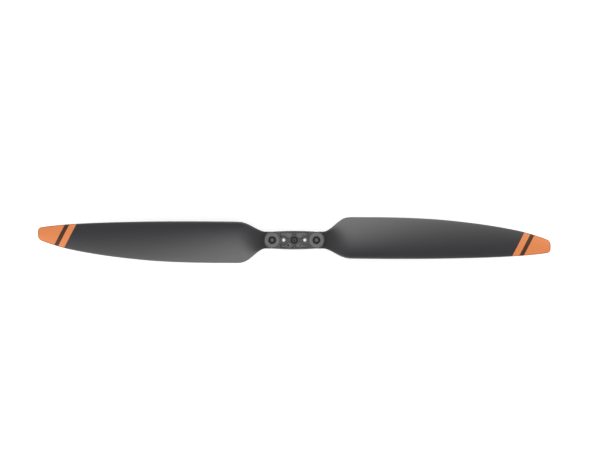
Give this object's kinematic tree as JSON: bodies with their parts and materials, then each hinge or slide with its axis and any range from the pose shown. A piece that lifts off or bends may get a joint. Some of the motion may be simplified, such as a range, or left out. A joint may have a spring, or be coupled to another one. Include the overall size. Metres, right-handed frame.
{
  "type": "folding propeller",
  "caption": "Two-blade folding propeller: twisted blades hinged in a clamped hub, with orange tip bands and a dark stripe.",
  "frame": {"origin": "centre of the hub's mounting face, on the rotor axis", "axes": "+Z along the rotor axis, away from the motor and in the direction of thrust; +X along the right blade with both blades open; seen from +Z the propeller turns clockwise"},
  "size_m": [0.5334, 0.0484, 0.021],
  "materials": {
    "blade_nylon": "satin",
    "tip_paint": "satin",
    "hub_plastic": "matte",
    "spacer_aluminium": "anodised",
    "black_steel": "black oxide",
    "bright_steel": "satin",
    "bush_bronze": "satin",
    "washer_polymer": "matte"
  },
  "bodies": {
    "hub": {"hub_top_plate": "hub_plastic", "hub_bottom_plate": "hub_plastic", "hub_spacer": "spacer_aluminium", "pivot_screw_right": "black_steel", "pivot_nut_right": "bright_steel", "pivot_sleeve_right": "bright_steel", "head_washer_right": "bright_steel", "friction_washer_lower_right": "washer_polymer", "friction_washer_upper_right": "washer_polymer", "locating_sleeve_right": "bright_steel", "pivot_screw_left": "black_steel", "pivot_nut_left": "bright_steel", "pivot_sleeve_left": "bright_steel", "head_washer_left": "bright_steel", "friction_washer_lower_left": "washer_polymer", "friction_washer_upper_left": "washer_polymer", "locating_sleeve_left": "bright_steel"},
    "right_blade": {"blade_right": "blade_nylon", "pivot_bush_right": "bush_bronze"},
    "left_blade": {"blade_left": "blade_nylon", "pivot_bush_left": "bush_bronze"}
  },
  "joints": [
    {"name": "fold_right", "type": "hinge", "parent": "hub", "child": "right_blade", "pos_m": [0.023, 0, 0.00685], "axis": [0, 0, 1], "range_deg": [-90, 90]},
    {"name": "fold_left", "type": "hinge", "parent": "hub", "child": "left_blade", "pos_m": [-0.023, 0, 0.00685], "axis": [0, 0, 1], "range_deg": [-90, 90]}
  ]
}
